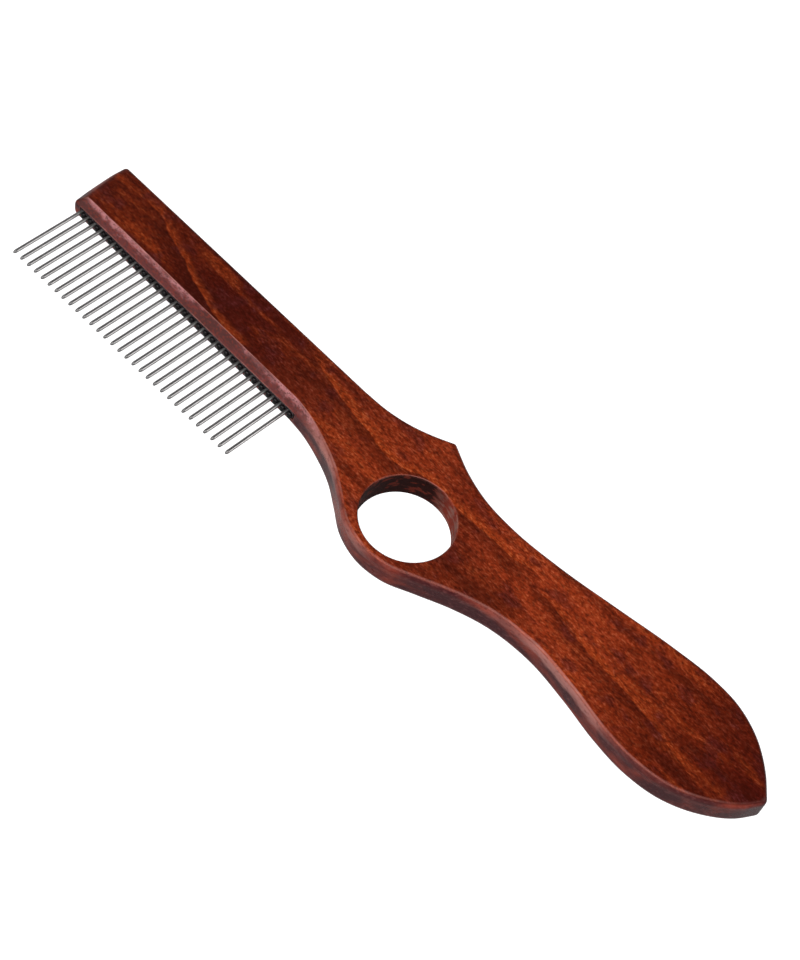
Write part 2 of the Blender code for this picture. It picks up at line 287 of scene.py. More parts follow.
# Layers over a colour: each is a noise with its tones. A tone starts at the first value of the noise and is
# full at the second, and the third number is the most of it.
FACE_STREAKS = [
    ((26.0, 3.6, 3.6), 3.0, 2.6, [
        (0.5, 0.95, 0.35, STAIN_LIGHT, "MIX"),
        (0.5, 0.05, 0.5, STAIN_DARK, "MIX"),
    ]),
]
FACE_MOTTLING = [
    ((7.0, 5.0, 5.0), 2.0, 2.6, [
        (0.6, 0.95, 0.5, STAIN_PURPLE, "MIX"),
    ]),
    ((1.5, 0.8, 0.8), 3.0, 3.0, [
        (0.5, 0.0, 0.5, STAIN_DARK, "MIX"),
        (0.5, 1.0, 0.8, MOTTLE_GAIN, "MULTIPLY"),
    ]),
    ((0.9, 0.3, 0.3), 2.0, 3.4, [
        (0.3, 0.02, 0.45, STAIN_FLECK, "MIX"),
        (0.66, 0.98, 0.8, FLECK_GAIN, "MULTIPLY"),
    ]),
]
SIDE_FIBRES = [
    ((1.4, 0.9, 0.6), 3.0, 2.4, [
        (0.55, 0.95, 0.25, SIDE_PALE, "MIX"),
        (0.45, 0.05, 0.4, SIDE_DARK, "MIX"),
    ]),
]
BEVEL_PATCHES = [
    ((11.0, 5.0, 5.0), 3.0, 3.0, [
        (0.4, 0.9, 0.75, BEVEL_GREY, "MIX"),
    ]),
]
BEVEL_FLECKS = [
    ((0.8, 0.5, 0.5), 2.0, 3.0, [
        (0.45, 0.05, 0.7, BEVEL_GREY, "MIX"),
        (0.55, 0.9, 0.45, SIDE_BROWN, "MIX"),
    ]),
]

# Masks: the value where each starts and the value where it is full, and the most of it where there is a third
UPRIGHT = (0.93, 0.6)
GRIP_STRETCH_LENGTH = ((120.0, 130.0), (154.0, 143.0))
GRIP_STRETCH_WIDTH = (9.0, 2.0, 0.45)
SIDE_BROWN_FROM = (0.35, 0.95)
# Where the painted sheen on the front side's upper part shows
SIDE_FACING = (0.0, -0.4)
SIDE_UPPER_PART = (1.0, 2.4)
# Painted light from below on the sides' under part
SIDE_UNDER_PAINTED_LIGHT = (-1.6, -3.4, 0.35)
BEVEL_FACING = (-0.3, -0.5)
BEVEL_END = (92.0, 76.0)
BEVEL_HEIGHT = (0.6, 1.4)
# Painted highlight towards the bevel's top arris
BEVEL_TOP_HIGHLIGHT = (2.0, 3.9)
BEVEL_PINK_FROM = (0.4, 1.25)
# The painted highlight line on the front side's top arris
ARRIS_TILT = ((0.78, 0.88), (0.985, 0.95))
ARRIS_FACING = (-0.1, -0.3)
ARRIS_ON_HEAD = (100.0, 80.0)
EDGE_TURN = (0.998, 0.94)
HOLE_WALL = (HOLE_RADIUS + 1.2, HOLE_RADIUS + 0.6)
HOLE_BROWN_FROM = (0.55, 0.95, 0.5)
HOLE_PAINTED_LIGHT_FROM = (0.3, 0.8)
# Where the hole's wall turns from painted shade to painted light
HOLE_GRIP_SIDE = (sum(HOLE_CENTRE) + 9.0, sum(HOLE_CENTRE) + 16.0)
PORES_FROM = (0.3, 0.05)
STEEL_DULLED_FROM = (0.6, 0.95, 0.4)
TIP_DARKENED = (1.1, 0.2, 0.75)
TIP_BLUNTED = (1.1, 0.2, 0.3)

# What the bevel's painted highlight at its top, its mottle and its dark lengths each bring to its pink
BEVEL_TOP_HIGHLIGHT_SHARE = 0.8
BEVEL_MOTTLE_SHARE = 0.75
BEVEL_DARKENING = 0.6
# How far the edge of the side's painted sheen wanders, in millimetres
SIDE_BREAK = 1.6
# The gain and the least of the painted highlight line on the arris, by the paleness of the front side's
# painted sheen and by its broken lengths
ARRIS_PALE_SHARE = (0.8, 0.2)
ARRIS_BROKEN_SHARE = (0.6, 0.05)

# Edge masks on the arrises: their reach and the size of their patches in millimetres, and how even they are
# On the wood the pale arrises are partly wear and partly a painted highlight; on the plastic they are painted
# glints
WOOD_EDGE_WEAR_AND_SHEEN = (0.4, 5.0, 0.4)
WOOD_EDGE_WEAR_AND_SHEEN_SHARE = 0.6
PLASTIC_GLINT_EDGES = (0.25, 0.9, 0.15)
EDGE_DETAIL = 3.0
EDGE_CONTRAST = 2.2
EDGE_SAMPLES = 4

# Roughness: its least on the varnish and what each mark adds, and its gain and least on plastic and steel
VARNISH_LEAST = 0.24
VARNISH_SMEARED = 0.1
VARNISH_RUBBED = 0.1
VARNISH_IN_HOLE = 0.55
PLASTIC_ROUGHNESS = (0.14, 0.16)
STEEL_ROUGHNESS = (0.1, 0.26)

# Relief: its strength, and its depth in millimetres
WOOD_RELIEF = (0.25, 0.12)
PORE_SHARE = -0.35
PLASTIC_RELIEF = (0.2, 0.04)
STEEL_RELIEF = (0.15, 0.02)

# Growth lines: light above a sharp edge and dark below it, in millimetres from the edge
LINE_LIGHT = ((0.0, 0.4), (3.0, 0.4))
LINE_DARK = ((-5.5, -0.2), (0.4, 0.0))
# The most of both, the lean of the lines through the plate, their sway, and where their curve's range ends
LINE_MOST = 0.6
LINE_LEAN = 0.25
LINE_SWAY = 1.6
LINE_LOWEST = -10.0
LINE_HIGHEST = 25.0
# Their heights over the length, and how strongly they show, with gaps between the three lines
LINE_HEIGHTS = [
    (-5.0, 12.6),
    (5.3, 13.8),
    (12.2, 14.4),
    (19.3, 12.3),
    (27.5, 9.8),
    (32.8, 7.5),
    (40.3, 5.4),
    (49.2, 3.4),
    (56.0, 3.6),
    (63.0, 14.5),
    (68.9, 15.2),
    (74.1, 13.9),
    (83.3, 12.1),
    (94.0, 10.3),
    (102.6, 9.4),
    (106.6, 10.4),
    (112.1, 12.4),
    (120.8, 11.9),
    (129.2, 12.7),
    (139.5, 12.8),
    (146.4, 14.3),
    (150.5, 11.2),
    (154.9, 10.8),
    (162.9, 9.1),
    (169.9, 8.5),
    (188.4, 6.9),
    (199.0, 4.8),
    (207.8, 3.1),
    (225.0, 3.8),
]
LINE_STRENGTHS = [
    (-5.0, 0.05),
    (6.0, 0.25),
    (25.0, 0.75),
    (50.0, 0.8),
    (56.0, 0.4),
    (60.0, 0.0),
    (64.0, 0.0),
    (71.0, 0.6),
    (90.0, 0.9),
    (140.0, 0.9),
    (148.0, 0.3),
    (152.0, 0.3),
    (160.0, 0.85),
    (195.0, 0.6),
    (210.0, 0.25),
    (225.0, 0.1),
]
# How strong the painted sheen on the upper part of the front side is over the length, from 0 to 1
UPPER_SIDE_PAINTED_SHEEN = [
    (-5.0, 0.0),
    (70.0, 0.3),
    (80.0, 0.8),
    (92.0, 0.9),
    (98.0, 0.35),
    (105.0, 0.3),
    (111.0, 0.55),
    (115.0, 0.45),
    (120.0, 0.1),
    (136.0, 0.05),
    (145.0, 0.2),
    (155.0, 0.45),
    (162.0, 0.8),
    (177.0, 0.8),
    (184.0, 0.3),
    (192.0, 0.12),
    (225.0, 0.1),
]
# How far the bevel is left pale over the length, from 0 to 1
PALE_BEVEL = [
    (-5.0, 0.85),
    (12.0, 0.95),
    (17.0, 0.75),
    (25.0, 0.8),
    (33.0, 0.95),
    (38.0, 0.7),
    (43.0, 0.05),
    (53.0, 0.05),
    (58.0, 0.8),
    (70.0, 1.0),
    (225.0, 1.0),
]
# Line that the tips of the teeth lie on: its y at the first tooth, in millimetres, and its slope
TIP_LINE_START = -21.4
TIP_LINE_SLOPE = 0.02


def nothing_selected():
    if bpy.context.object and bpy.context.object.mode != "OBJECT":
        bpy.ops.object.mode_set(mode="OBJECT")
    bpy.ops.object.select_all(action="DESELECT")


def only(piece):
    """Selects one piece and makes it the active one."""
    nothing_selected()
    piece.select_set(True)
    bpy.context.view_layer.objects.active = piece


def added(name):
    """Names the primitive that was just added, with its place put into its mesh."""
    piece = bpy.context.object
    piece.name = name
    piece.data.name = name
    bpy.ops.object.transform_apply(location=True, rotation=True, scale=True)
    return piece


def add_block(name, low, high):
    """A cube primitive between two corners."""
    nothing_selected()
    bpy.ops.mesh.primitive_cube_add(size=1.0, location=(low + high) / 2, scale=high - low)
    return added(name)


def apply_modifier(piece, kind, **settings):
    only(piece)
    modifier = piece.modifiers.new(kind.title(), kind)
    for setting, value in settings.items():
        setattr(modifier, setting, value)
    bpy.ops.object.modifier_apply(modifier=modifier.name)


def remove(piece):
    bpy.data.objects.remove(piece)


def join(pieces):
    """Joins pieces into the first of them."""
    nothing_selected()
    for piece in pieces:
        piece.select_set(True)
    bpy.context.view_layer.objects.active = pieces[0]
    bpy.ops.object.join()
    return pieces[0]


def combine(piece, operation, other):
    """Adds another closed mesh to a piece, or takes it away."""
    apply_modifier(piece, "BOOLEAN", operation=operation, solver="EXACT", object=other)
    remove(other)


def shade(piece, angle=SMOOTH_ANGLE):
    only(piece)
    bpy.ops.object.shade_smooth_by_angle(angle=angle)


def copy_of(piece, name, shift):
    """A copy with its own mesh, moved along."""
    copy = piece.copy()
    copy.data = piece.data.copy()
    copy.name = name
    copy.data.name = name
    bpy.context.scene.collection.objects.link(copy)
    for vert in copy.data.vertices:
        vert.co += shift
    return copy


def from_root(x, y, z):
    """A point in millimetres from the first tooth's root."""
    return FIRST_ROOT + Vector((x, y, z)) * MM


# Plate


def smooth_run(rows):
    """Points on a smooth curve through rows of x, y and bevel share."""
    points = [Vector(row) for row in rows]
    chords = [(after.xy - before.xy).length for before, after in zip(points, points[1:])]
    slopes = [(after - before) / chord for before, after, chord in zip(points, points[1:], chords)]
    tangents = [slopes[0]]
    for left, right, left_chord, right_chord in zip(slopes, slopes[1:], chords, chords[1:]):
        tangents.append((left * right_chord + right * left_chord) / (left_chord + right_chord))
    tangents.append(slopes[-1])
    run = [points[0]]
    for index, chord in enumerate(chords):
        steps = max(1, round(chord / OUTLINE_SPACING))
        for step in range(1, steps + 1):
            t = step / steps
            run.append(
                points[index] * (2 * t**3 - 3 * t**2 + 1)
                + tangents[index] * chord * (t**3 - 2 * t**2 + t)
                + points[index + 1] * (3 * t**2 - 2 * t**3)
                + tangents[index + 1] * chord * (t**3 - t**2)
            )
    return run


def arc(before, corner, after, radius, steps):
    """Points on the arc that rounds a corner of two straight lines in a plane."""
    arriving = (corner - before).normalized()
    leaving = (after - corner).normalized()
    turn = -arriving.angle_signed(leaving)
    start = corner - arriving * radius * math.tan(abs(turn) / 2)
    side = Vector((-arriving.y, arriving.x)) * math.copysign(1.0, turn)
    centre = start + side * radius
    points = []
    for step in range(steps + 1):
        angle = turn * step / steps
        spoke = start - centre
        x = spoke.x * math.cos(angle) - spoke.y * math.sin(angle)
        y = spoke.x * math.sin(angle) + spoke.y * math.cos(angle)
        points.append(centre + Vector((x, y)))
    return points


def corner_turn(before, corner, after):
    return abs((corner - before).xy.angle_signed((after - corner).xy))


def closed_outline():
    """The plate's ring. Each entry is a point of x, y and bevel share, the share that arrives at it, and the
    plan radius of a corner. Points too near to a corner are left out, because the ring shrinks past them."""
    runs = [smooth_run(rows) for rows, _, _ in OUTLINE]
    radii = [radius for _, radius, _ in OUTLINE]
    clearances = [clearance for _, _, clearance in OUTLINE]
    ring = []
    for index, run in enumerate(runs):
        for point in run[1:-1]:
            clear_of_start = (point - run[0]).xy.length > clearances[index - 1]
            clear_of_end = (point - run[-1]).xy.length > clearances[index]
            if clear_of_start and clear_of_end:
                ring.append((point, point.z, 0.0))
        following = runs[(index + 1) % len(runs)]
        ring.append((following[0], run[-1].z, radii[index]))
    return ring


def hole_outline():
    """The finger hole's ring, clockwise, so that the wood lies on its left."""
    ring = []
    for side in range(HOLE_SIDES):
        angle = -2 * math.pi * side / HOLE_SIDES
        x = HOLE_CENTRE[0] + HOLE_RADIUS * math.cos(angle)
        y = HOLE_CENTRE[1] + HOLE_RADIUS * math.sin(angle)
        ring.append((Vector((x, y, 0.0)), 0.0, 0.0))
    return ring


def plain_profile(radius, count):
    """Rows of inset and drop down a quarter round."""
    angles = [math.pi / 2 * step / (count - 1) for step in range(count)]
    return [(radius * (1 - math.sin(a)), radius * (1 - math.cos(a))) for a in angles]


def bevel_profile():
    """Rows of inset and drop down the toothed edge's flat bevel, with both of its arrises eased."""
    top, upper = Vector((BEVEL_INSET + 1, 0.0)), Vector((BEVEL_INSET, 0.0))
    lower, bottom = Vector((0.0, BEVEL_DROP)), Vector((0.0, BEVEL_DROP + 1))
    rows = arc(top, upper, lower, BEVEL_EASE, ARC_STEPS) + arc(upper, lower, bottom, BEVEL_EASE, ARC_STEPS)
    return [tuple(row) for row in rows]


def edge_profile(radius):
    """Pairs of plain and bevelled rows from a face down to the side, after a row on the flat of the face."""
    bevelled = bevel_profile()
    plain = plain_profile(radius, len(bevelled))
    margin = ((plain[0][0] + FLAT_MARGIN, 0.0), (bevelled[0][0] + FLAT_MARGIN, 0.0))
    side = ((0.0, END_RADIUS_BACK), (0.0, END_RADIUS_FRONT))
    return [margin, *zip(plain, bevelled), side]


def end_inset(drop, share, flat):
    """How far the head end's own, fuller rounding lies inside the outline at a drop from the face."""
    radius = blend(END_RADIUS_BACK, END_RADIUS_FRONT, share)
    left = max(radius - drop, 0.0)
    return radius - math.sqrt(radius**2 - left**2) + flat


def end_share(before, after):
    """1 along the head's end and 0 along the other edges."""
    along = (after - before).xy.normalized()
    at_end = (before.x + after.x) / 2 < HEAD_START_X + END_REACH
    return along.y**2 if at_end and along.y < 0 else 0.0


def blend(first, second, share):
    return first + (second - first) * share


def inset_point(before, point, after, arriving_inset, leaving_inset):
    """Where two edges that meet at a point meet again once each has moved into the plate."""
    arriving = (point - before).xy.normalized()
    leaving = (after - point).xy.normalized()
    first = Vector((-arriving.y, arriving.x))
    second = Vector((-leaving.y, leaving.x))
    alike = first.dot(second)
    if alike > NEARLY_STRAIGHT:
        return point.xy + (first + second).normalized() * leaving_inset
    along_first = (arriving_inset - alike * leaving_inset) / (1 - alike**2)
    along_second = (leaving_inset - alike * arriving_inset) / (1 - alike**2)
    return point.xy + first * along_first + second * along_second


def edge_inset(before, after, share, rows, drop, flat, bevel_part):
    """How far one edge of the outline has moved into the plate at a drop from the face."""
    plain, bevelled = rows
    inset = blend(plain[0], bevelled[0], share * bevel_part)
    return blend(inset, end_inset(drop, share, flat), end_share(before, after))


def beside(ring, index):
    """The entries before and after one of a closed ring."""
    return ring[index - 1], ring[(index + 1) % len(ring)]


def level_points(ring, side, rows, flat):
    """One level of the plate's side: the ring moved in to the level's inset, its corners rounded in plan."""
    half_height = (PLATE_HIGH.z - PLATE_LOW.z) / 2 / MM
    bevel_part = 1.0 if side > 0 else UNDER_BEVEL_PART
    places = [entry[0] for entry in ring]
    spots = []
    heights = []
    for index, (point, arriving_share, _) in enumerate(ring):
        before, after = beside(places, index)
        drop = blend(rows[0][1], rows[1][1], point.z * bevel_part)
        arriving = edge_inset(before, point, arriving_share, rows, drop, flat, bevel_part)
        leaving = edge_inset(point, after, point.z, rows, drop, flat, bevel_part)
        spots.append(inset_point(before, point, after, arriving, leaving))
        heights.append(side * (half_height - drop))
    points = []
    for index, (point, _, radius) in enumerate(ring):
        corner = [spots[index]]
        if radius:
            before, after = beside(places, index)
            steps = max(2, round(corner_turn(before, point, after) / CORNER_STEP))
            first, last = beside(spots, index)
            corner = arc(first, spots[index], last, radius, steps)
        points.extend(from_root(spot.x, spot.y, heights[index]) for spot in corner)
    return points


def extruded_wall(name, ring, radius):
    """A ring primitive drawn out to the first level, then extruded down through all the levels."""
    profile = edge_profile(radius)
    flats = [FLAT_MARGIN] + [0.0] * (len(profile) - 1)
    levels = [level_points(ring, 1, rows, flat) for rows, flat in zip(profile, flats)]
    levels += [level_points(ring, -1, rows, flat) for rows, flat in zip(reversed(profile), reversed(flats))]
    nothing_selected()
    bpy.ops.mesh.primitive_circle_add(vertices=len(levels[0]), radius=PLATE_HIGH.x)
    piece = added(name)
    for vert, spot in zip(piece.data.vertices, levels[0]):
        vert.co = spot
    bpy.ops.object.mode_set(mode="EDIT")
    bpy.ops.mesh.select_all(action="SELECT")
    mesh = bmesh.from_edit_mesh(piece.data)
    row = list(mesh.verts)
    for spots in levels[1:]:
        bpy.ops.mesh.extrude_region()
        mesh = bmesh.from_edit_mesh(piece.data)
        mesh.verts.ensure_lookup_table()
        lower = []
        for vert in row:
            new = next(e.other_vert(vert) for e in vert.link_edges if e.other_vert(vert).select)
            lower.append(new)
        for vert, spot in zip(lower, spots):
            vert.co = spot
        row = lower
    bmesh.update_edit_mesh(piece.data)
    bpy.ops.object.mode_set(mode="OBJECT")
    return piece


def fill_face(piece, height):
    """Fills the flat of a face between the outline and the finger hole."""
    only(piece)
    bpy.ops.object.mode_set(mode="EDIT")
    bpy.ops.mesh.select_mode(type="EDGE")
    bpy.ops.mesh.select_all(action="DESELECT")
    mesh = bmesh.from_edit_mesh(piece.data)
    for edge in mesh.edges:
        level = all(abs(vert.co.z - height) < LEVEL_TOLERANCE * MM for vert in edge.verts)
        edge.select = edge.is_boundary and level
    mesh.select_flush_mode()
    bmesh.update_edit_mesh(piece.data)
    bpy.ops.mesh.fill(use_beauty=True)
    bpy.ops.object.mode_set(mode="OBJECT")


def turn_faces_outwards():
    """Recalculates the normals of the piece that is in edit mode."""
    bpy.ops.mesh.select_all(action="SELECT")
    bpy.ops.mesh.normals_make_consistent(inside=False)


def cut_slot(plate):
    """Cuts the strip's slot, and the pocket behind its end for the first tooth's head."""
    low = from_root(SLOT_START, -SLOT_PAST, -SLOT_HALF_HEIGHT)
    high = from_root(SLOT_END, SLOT_DEPTH, SLOT_HALF_HEIGHT)
    combine(plate, "DIFFERENCE", add_block("slot", low, high))
    low = from_root(POCKET_START, 0.0, POCKET_MARGIN - SLOT_HALF_HEIGHT)
    low.y = STRIP_HIGH.y
    high = from_root(0.0, SLOT_DEPTH - POCKET_MARGIN, SLOT_HALF_HEIGHT - POCKET_MARGIN)
    combine(plate, "DIFFERENCE", add_block("head_pocket", low, high))


def make_plate():
    outer = extruded_wall("comb_plate", closed_outline(), ROUND_RADIUS)
    hole = extruded_wall("hole_wall", hole_outline(), HOLE_RIM_RADIUS)
    plate = join([outer, hole])
    fill_face(plate, PLATE_HIGH.z)
    fill_face(plate, PLATE_LOW.z)
    only(plate)
    bpy.ops.object.mode_set(mode="EDIT")
    turn_faces_outwards()
    bpy.ops.object.mode_set(mode="OBJECT")
    cut_slot(plate)
    shade(plate)
    return plate


# Strip


def ease_edges(piece, width, steps):
    """Rounds a block's edges by a width in millimetres."""
    apply_modifier(piece, "BEVEL", width=width * MM, segments=steps, limit_method="ANGLE")


def repeated(first, name):
    """A piece and its copies along the row, one for each tooth, joined into one."""
    copies = []
    for index in range(1, len(TEETH)):
        copies.append(copy_of(first, f"{name}_{index}", Vector((index * PITCH, 0, 0))))
    return join([first, *copies])


def make_first_lug():
    """The small lug that stands halfway between the first two teeth."""
    middle = 0.5 * PITCH / MM
    low = from_root(middle - LUG_HALF_WIDTH, LUG_FRONT_Y, LUG_LOW_Z)
    high = from_root(middle + LUG_HALF_WIDTH, LUG_BACK_Y, LUG_HIGH_Z)
    lug = add_block("lug", low, high)
    ease_edges(lug, LUG_EASE, LUG_EASE_STEPS)
    return lug


def make_first_bore():
    """The cutter for the first tooth's bore, longer than the strip is deep."""
    nothing_selected()
    bpy.ops.mesh.primitive_cylinder_add(
        vertices=BORE_SIDES,
        radius=BORE_RADIUS * MM,
        depth=(STRIP_HIGH.y - STRIP_LOW.y) * 2,
        location=(FIRST_ROOT.x, (STRIP_LOW.y + STRIP_HIGH.y) / 2, FIRST_ROOT.z),
        rotation=(math.pi / 2, 0, 0),
    )
    return added("bore")


def make_strip():
    corner = from_root(STRIP_START, STRIP_FACE_Y, 0.0)
    strip = add_block("strip", Vector((corner.x, corner.y, STRIP_LOW.z)), STRIP_HIGH)
    ease_edges(strip, STRIP_EASE, STRIP_EASE_STEPS)
    combine(strip, "UNION", repeated(make_first_lug(), "lug"))
    combine(strip, "DIFFERENCE", repeated(make_first_bore(), "bore"))
    strip.name = "black_strip"
    shade(strip)
    return strip


# Teeth


def tooth_rows(node):
    """Rows of y and radius along a tooth, from its hidden head to its tip, in metres."""
    low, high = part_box(node)
    head_front = high.y - HEAD_LENGTH * MM
    shaft, head, ease = TOOTH_RADIUS * MM, HEAD_RADIUS * MM, HEAD_EASE * MM
    rows = [
        (high.y, head - ease),
        (high.y - ease, head),
        (head_front + ease, head),
        (head_front, head - ease),
        (head_front, shaft),
    ]
    tip_start = low.y + TIP_LENGTH * MM
    return rows + [(tip_start - TIP_LENGTH * MM * share, shaft * size) for share, size in TIP_ROWS]


def make_first_tooth():
    """A turned pin: a ring primitive extruded along its axis from its head to its tip."""
    rows = tooth_rows(TEETH[0])
    nothing_selected()
    bpy.ops.mesh.primitive_circle_add(
        vertices=TOOTH_SIDES,
        radius=rows[0][1],
        fill_type="NGON",
        location=(FIRST_ROOT.x, rows[0][0], FIRST_ROOT.z),
        rotation=(math.pi / 2, 0, 0),
    )
    tooth = added(f"{TEETH[0]}_pin")
    bpy.ops.object.mode_set(mode="EDIT")
    bpy.ops.mesh.select_mode(type="EDGE")
    bpy.ops.mesh.select_all(action="SELECT")
    mesh = bmesh.from_edit_mesh(tooth.data)
    for face in mesh.faces:
        face.select = False
    for edge in mesh.edges:
        edge.select = True
    bmesh.update_edit_mesh(tooth.data)
    for (old_y, old_radius), (y, radius) in zip(rows, rows[1:]):
        bpy.ops.mesh.extrude_edges_move(TRANSFORM_OT_translate={"value": (0, y - old_y, 0)})
        grow = radius / old_radius
        bpy.ops.transform.resize(value=(grow, 1, grow), center_override=(FIRST_ROOT.x, y, FIRST_ROOT.z))
    bpy.ops.mesh.edge_face_add()
    turn_faces_outwards()
    bpy.ops.object.mode_set(mode="OBJECT")
    return tooth


def make_teeth():
    """Every tooth as a copy of the first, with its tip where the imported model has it."""
    first = make_first_tooth()
    first_low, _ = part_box(TEETH[0])
    tip_end = first_low.y + (TIP_LENGTH + TIP_MARGIN) * MM
    teeth = [first]
    for node in TEETH[1:]:
        tooth = copy_of(first, f"{node}_pin", ROOTS[node] - FIRST_ROOT)
        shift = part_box(node)[0].y - first_low.y
        for vert in tooth.data.vertices:
            if vert.co.y < tip_end:
                vert.co.y += shift
        teeth.append(tooth)
    for tooth in teeth:
        shade(tooth, TOOTH_SMOOTH_ANGLE)
    return teeth


# Materials


def fill(tree, made, inputs):
    """Fills a node's sockets with values, or links them to other sockets."""
    for socket, value in inputs.items():
        if isinstance(value, bpy.types.NodeSocket):
            tree.links.new(value, made.inputs[socket])
        else:
            made.inputs[socket].default_value = value


def put(tree, kind, inputs=None, **settings):
    """A new node with its settings and its sockets filled."""
    made = tree.nodes.new(kind)
    for setting, value in settings.items():
        setattr(made, setting, value)
    fill(tree, made, inputs or {})
    return made


def maths(tree, operation, *values):
    return put(tree, "ShaderNodeMath", dict(enumerate(values)), operation=operation).outputs[0]


def rising(tree, value, low, high):
    """0 below low and 1 above high, with a smooth step between. Falls instead where low is the larger."""
    inputs = {"Value": value, "From Min": low, "From Max": high}
    return put(tree, "ShaderNodeMapRange", inputs, interpolation_type="SMOOTHSTEP").outputs["Result"]


def mixed(tree, share, first, second, blend_type="MIX"):
    inputs = {0: share, 6: first, 7: second}
    return put(tree, "ShaderNodeMix", inputs, data_type="RGBA", blend_type=blend_type).outputs[2]


def length_share(x):
    """Where a length in millimetres lies between the ends of the curves, from 0 to 1."""
    return (x - LENGTH_START) / (LENGTH_END - LENGTH_START)


def along_comb(tree, x):
    """The same share at each place on the comb."""
    inputs = {"Value": x, "From Min": LENGTH_START, "From Max": LENGTH_END}
    return put(tree, "ShaderNodeMapRange", inputs).outputs["Result"]


def along_curve(tree, x, rows, low=0.0, high=1.0):
    """A smooth curve over the comb's length, through rows of a length and a value between low and high."""
    made = put(tree, "ShaderNodeFloatCurve", {"Value": along_comb(tree, x)})
    curve = made.mapping.curves[0]
    spots = [(length_share(length), (value - low) / (high - low)) for length, value in rows]
    curve.points[0].location = spots[0]
    curve.points[1].location = spots[-1]
    for spot in spots[1:-1]:
        curve.points.new(*spot)
    made.mapping.update()
    inputs = {"Value": made.outputs["Value"], "To Min": low, "To Max": high}
    return put(tree, "ShaderNodeMapRange", inputs).outputs["Result"]


def colour_ramp(tree, value, stops):
    made = put(tree, "ShaderNodeValToRGB", {"Fac": value})
    ramp = made.color_ramp
    while len(ramp.elements) < len(stops):
        ramp.elements.new(1.0)
    for element, (place, colour) in zip(ramp.elements, stops):
        element.position = place
        element.color = (*colour, 1.0)
    return made.outputs["Color"]


def millimetres(tree):
    """Places on a piece in millimetres from the first tooth's root."""
    place = put(tree, "ShaderNodeTexCoord").outputs["Object"]
    inputs = {"Vector": place, "Location": -FIRST_ROOT / MM, "Scale": (1 / MM,) * 3}
    return put(tree, "ShaderNodeMapping", inputs).outputs["Vector"]


def new_group(name, inputs, outputs):
    """An empty node group with its sockets, and its nodes for what goes in and what comes out."""
    group = bpy.data.node_groups.new(name, "ShaderNodeTree")
    for label, kind, value in inputs:
        socket = group.interface.new_socket(label, in_out="INPUT", socket_type=kind)
        if kind == "NodeSocketFloat":
            socket.default_value = value
    for label, kind in outputs:
        group.interface.new_socket(label, in_out="OUTPUT", socket_type=kind)
    return group, group.nodes.new("NodeGroupInput").outputs, group.nodes.new("NodeGroupOutput").inputs


def streaks_group():
    """Soft noise drawn out into streaks: its cell sizes along each axis are given in millimetres."""
    inputs = [
        ("Place", "NodeSocketVector", None),
        ("Length X", "NodeSocketFloat", 5.0),
        ("Length Y", "NodeSocketFloat", 1.0),
        ("Length Z", "NodeSocketFloat", 1.0),
        ("Detail", "NodeSocketFloat", 2.0),
        ("Contrast", "NodeSocketFloat", 1.0),
    ]
    group, given, results = new_group("streaks", inputs, [("Value", "NodeSocketFloat")])
    lengths = {0: given["Length X"], 1: given["Length Y"], 2: given["Length Z"]}
    cell = put(group, "ShaderNodeCombineXYZ", lengths).outputs[0]
    place = put(group, "ShaderNodeVectorMath", {0: given["Place"], 1: cell}, operation="DIVIDE").outputs[0]
    noise = put(group, "ShaderNodeTexNoise", {"Vector": place, "Scale": 1.0, "Detail": given["Detail"]})
    centred = maths(group, "SUBTRACT", noise.outputs["Fac"], 0.5)
    spread = maths(group, "MULTIPLY_ADD", centred, given["Contrast"], 0.5)
    clamped = put(group, "ShaderNodeClamp", {"Value": spread}).outputs["Result"]
    group.links.new(clamped, results["Value"])
    return group


def edge_wear_and_glints_group(groups):
    """A mask of the arrises in patches: wear and a painted highlight on the wood, painted glints on the
    plastic.
    """
    inputs = [
        ("Place", "NodeSocketVector", None),
        ("Radius", "NodeSocketFloat", 0.001),
        ("Patch", "NodeSocketFloat", 4.0),
        ("Evenness", "NodeSocketFloat", 0.4),
    ]
    group, given, results = new_group("edge_wear_and_glints", inputs, [("Mask", "NodeSocketFloat")])
    rounded = put(group, "ShaderNodeBevel", {"Radius": given["Radius"]}, samples=EDGE_SAMPLES)
    plain = put(group, "ShaderNodeNewGeometry")
    normals = {0: rounded.outputs["Normal"], 1: plain.outputs["Normal"]}
    alike = put(group, "ShaderNodeVectorMath", normals, operation="DOT_PRODUCT").outputs["Value"]
    edge = rising(group, alike, *EDGE_TURN)
    patches = streaks(group, groups, given["Place"], [given["Patch"]] * 3, EDGE_DETAIL, EDGE_CONTRAST)
    share = maths(group, "MAXIMUM", patches, given["Evenness"])
    group.links.new(maths(group, "MULTIPLY", edge, share), results["Mask"])
    return group


def streaks(tree, groups, place, lengths, detail, contrast):
    inputs = {"Place": place, "Detail": detail, "Contrast": contrast}
    inputs.update({f"Length {axis}": length for axis, length in zip("XYZ", lengths)})
    return put(tree, "ShaderNodeGroup", inputs, node_tree=groups["streaks"]).outputs["Value"]


def edge_wear_and_glints(tree, groups, place, radius, patch, evenness):
    inputs = {"Place": place, "Radius": radius * MM, "Patch": patch, "Evenness": evenness}
    return put(tree, "ShaderNodeGroup", inputs, node_tree=groups["edge_wear_and_glints"]).outputs["Mask"]


def material(name):
    """A new node material with its tree and its Principled shader."""
    made = bpy.data.materials.new(name)
    made.use_nodes = True
    return made, made.node_tree, made.node_tree.nodes["Principled BSDF"]


def wear(piece, made):
    piece.data.materials.clear()
    piece.data.materials.append(made)


def relief(tree, height, strength, distance):
    """The normals of a bump, its depth in millimetres."""
    inputs = {"Height": height, "Strength": strength, "Distance": distance * MM}
    return put(tree, "ShaderNodeBump", inputs).outputs["Normal"]


